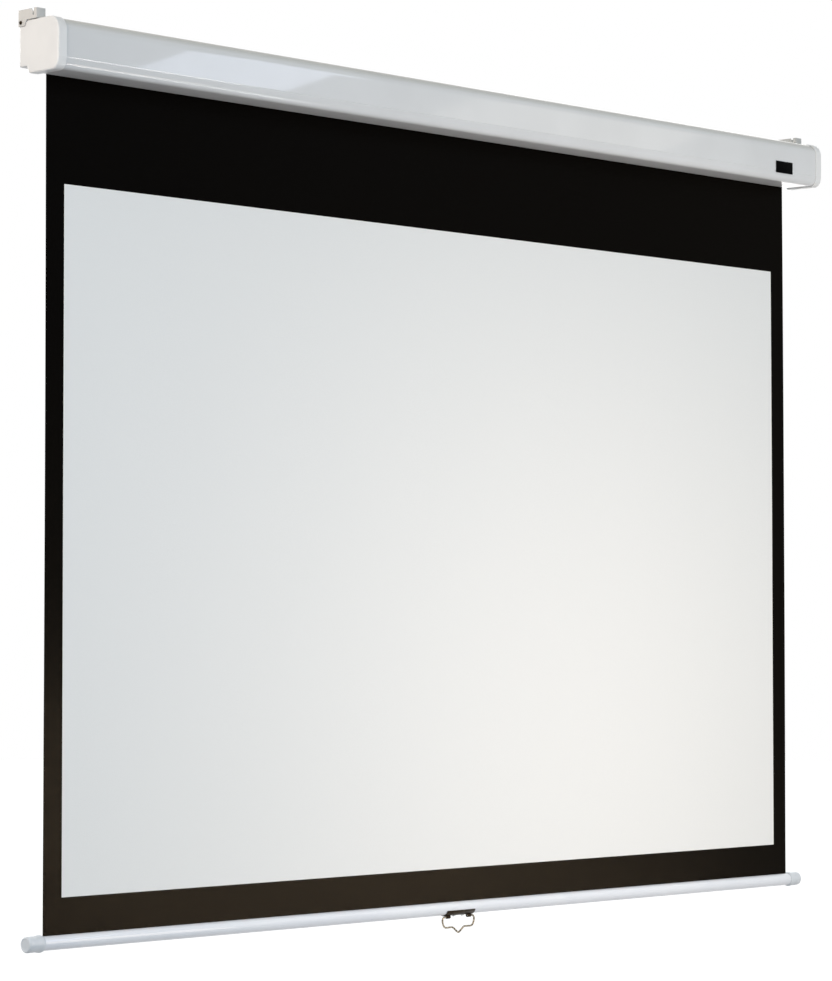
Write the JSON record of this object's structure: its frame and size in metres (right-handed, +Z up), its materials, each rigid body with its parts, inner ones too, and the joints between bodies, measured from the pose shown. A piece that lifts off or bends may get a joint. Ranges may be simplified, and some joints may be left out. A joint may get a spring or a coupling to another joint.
{
  "type": "pull-down projection screen",
  "caption": "Wall-hung manual projection screen with a slim case, spring roller, black-bordered white cloth, round weight bar and wire pull handle.",
  "frame": {"origin": "on the wall plane, at the middle of the case's flat back face", "axes": "+X along the case, -Y from the wall into the room, +Z up; the screen is drawn fully down at rest"},
  "size_m": [1.9632, 0.0968, 1.5165],
  "materials": {
    "case_paint": "gloss white roll-formed steel",
    "cap_plastic": "cream white, fine satin",
    "bracket_paint": "satin white",
    "masking_cloth": "matt black coated cloth",
    "viewing_coat": "matt white",
    "bar_paint": "gloss white",
    "bar_cap_plastic": "white",
    "zinc_steel": "zinc plated",
    "spring_steel": "oiled",
    "bronzed_steel": "dark bronze",
    "nickel_wire": "nickel plated",
    "nylon": "natural",
    "black_plate": "black, bare",
    "roller_aluminium": "mill"
  },
  "bodies": {
    "case": {"case_housing": "case_paint", "end_cap_left": "cap_plastic", "end_cap_right": "cap_plastic", "hanging_bracket_left": "bracket_paint", "hanging_bracket_right": "bracket_paint", "bracket_side_screw_left": "bronzed_steel", "bracket_side_screw_right": "bronzed_steel", "bracket_floor_screw_left": "zinc_steel", "bracket_floor_screw_right": "zinc_steel", "bearing_screw_left_lower": "zinc_steel", "bearing_screw_left_upper": "zinc_steel", "bearing_screw_right_lower": "zinc_steel", "bearing_screw_right_upper": "zinc_steel", "bearing_plate_left": "zinc_steel", "bearing_plate_right": "zinc_steel", "idler_bush": "nylon", "spindle": "zinc_steel", "spring_anchor": "zinc_steel", "torsion_spring": "spring_steel", "ratchet_collar": "spring_steel", "screen_cloth": "masking_cloth", "viewing_coat": "viewing_coat", "front_plate": "black_plate"},
    "roller": {"roller_tube": "roller_aluminium", "cloth_on_roller": "masking_cloth", "idler_plug": "nylon", "idler_pin": "zinc_steel", "pawl_carrier": "zinc_steel", "pawl_pin_upper": "zinc_steel", "pawl_pin_lower": "zinc_steel"},
    "upper_pawl": {"pawl_upper": "spring_steel"},
    "lower_pawl": {"pawl_lower": "spring_steel"},
    "weight_bar": {"weight_bar_tube": "bar_paint", "weight_bar_cap_left": "bar_cap_plastic", "weight_bar_cap_right": "bar_cap_plastic", "lower_border": "masking_cloth", "hem_rod": "nylon", "handle_saddle": "bronzed_steel", "handle_rivet_left": "zinc_steel", "handle_rivet_right": "zinc_steel"},
    "handle": {"handle_bail": "nickel_wire"}
  },
  "joints": [
    {"name": "weight_bar_slide", "type": "slide", "parent": "case", "child": "weight_bar", "axis": [0, 0, 1], "range_m": [0, 1.35], "deforming": ["screen_cloth", "viewing_coat"]},
    {"name": "roller_spin", "type": "hinge", "parent": "case", "child": "roller", "pos_m": [0, -0.04795, 0.004], "axis": [1, 0, 0], "range_deg": [0, 3240]},
    {"name": "upper_pawl_drop", "type": "hinge", "parent": "roller", "child": "upper_pawl", "pos_m": [0, -0.03525, 0.01289], "axis": [1, 0, 0], "range_deg": [0, 20]},
    {"name": "lower_pawl_drop", "type": "hinge", "parent": "roller", "child": "lower_pawl", "pos_m": [0, -0.06065, -0.00489], "axis": [1, 0, 0], "range_deg": [0, 20]},
    {"name": "handle_swing", "type": "hinge", "parent": "weight_bar", "child": "handle", "pos_m": [0, -0.02788, -1.43249], "axis": [1, 0, 0], "range_deg": [-85, 50]}
  ],
  "couplings": [
    {"joint": "roller_spin", "follows": "weight_bar_slide", "rad_per_m": 41.888}
  ]
}
